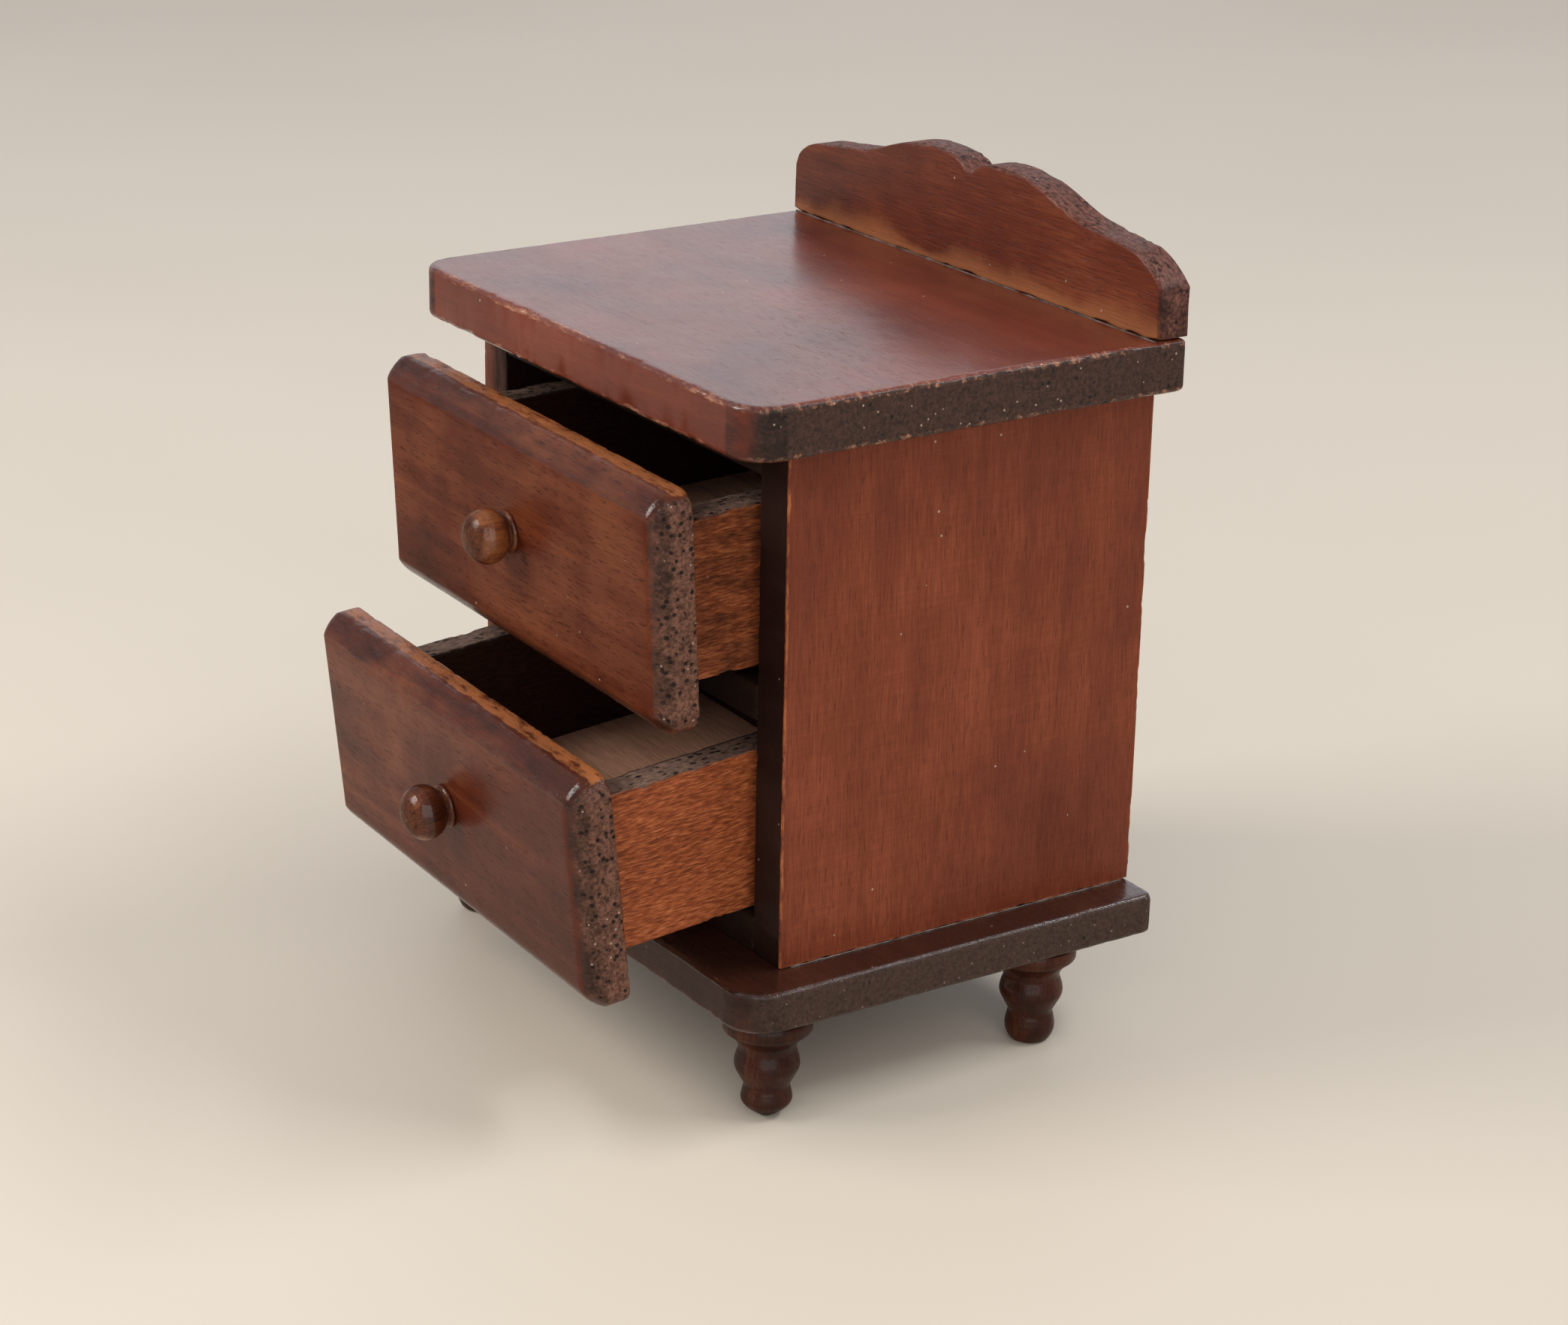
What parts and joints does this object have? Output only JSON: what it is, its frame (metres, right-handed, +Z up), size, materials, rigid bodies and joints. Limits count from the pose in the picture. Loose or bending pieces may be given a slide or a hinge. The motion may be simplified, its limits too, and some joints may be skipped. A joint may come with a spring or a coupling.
{
  "type": "miniature chest of drawers",
  "caption": "Dolls house bedside chest with sliding overlay-front drawers, ball knobs, short turned legs, a rounded overhanging top and a shaped rear gallery.",
  "frame": {"origin": "on the surface the four feet stand on, below the middle of the whole model's box with both drawers part open", "axes": "+Z up, -Y the way the drawers open, +X the right-hand side seen from the front"},
  "size_m": [0.0516, 0.0536, 0.0656],
  "materials": {
    "case_wood": "semi-gloss walnut-red stain and lacquer over close-grained hardwood",
    "drawer_front_wood": "semi-gloss dark walnut stain, worn to bare orange wood on the rear top arris",
    "base_wood": "semi-gloss dark stain, with grey-brown porous end grain at the ends",
    "inner_board_wood": "thin dull dark stain, not lacquered",
    "drawer_box_wood": "thin satin stain, lighter and more orange than the case, with short fibre flecks",
    "turned_leg_wood": "gloss dark stain on turned hardwood",
    "turned_knob_wood": "high-gloss dark red-brown lacquer on turned hardwood"
  },
  "bodies": {
    "carcass": {"side_panel_left": "case_wood", "side_panel_right": "case_wood", "back_panel": "inner_board_wood", "bottom_shelf": "inner_board_wood", "divider_shelf": "inner_board_wood", "top_shelf": "inner_board_wood", "base_board": "base_wood", "top_board": "case_wood", "gallery": "case_wood", "leg_front_left": "turned_leg_wood", "leg_rear_left": "turned_leg_wood", "leg_front_right": "turned_leg_wood", "leg_rear_right": "turned_leg_wood"},
    "upper_drawer": {"upper_drawer_front": "drawer_front_wood", "upper_drawer_knob": "turned_knob_wood", "upper_drawer_side_left": "drawer_box_wood", "upper_drawer_side_right": "drawer_box_wood", "upper_drawer_back": "drawer_box_wood", "upper_drawer_bottom": "drawer_box_wood"},
    "lower_drawer": {"lower_drawer_front": "drawer_front_wood", "lower_drawer_knob": "turned_knob_wood", "lower_drawer_side_left": "drawer_box_wood", "lower_drawer_side_right": "drawer_box_wood", "lower_drawer_back": "drawer_box_wood", "lower_drawer_bottom": "drawer_box_wood"}
  },
  "joints": [
    {"name": "upper_drawer_slide", "type": "slide", "parent": "carcass", "child": "upper_drawer", "axis": [0, -0.9989, -0.0471], "range_m": [-0.0053, 0.0167]},
    {"name": "lower_drawer_slide", "type": "slide", "parent": "carcass", "child": "lower_drawer", "axis": [0, -0.9949, -0.1011], "range_m": [-0.0105, 0.0115]}
  ]
}
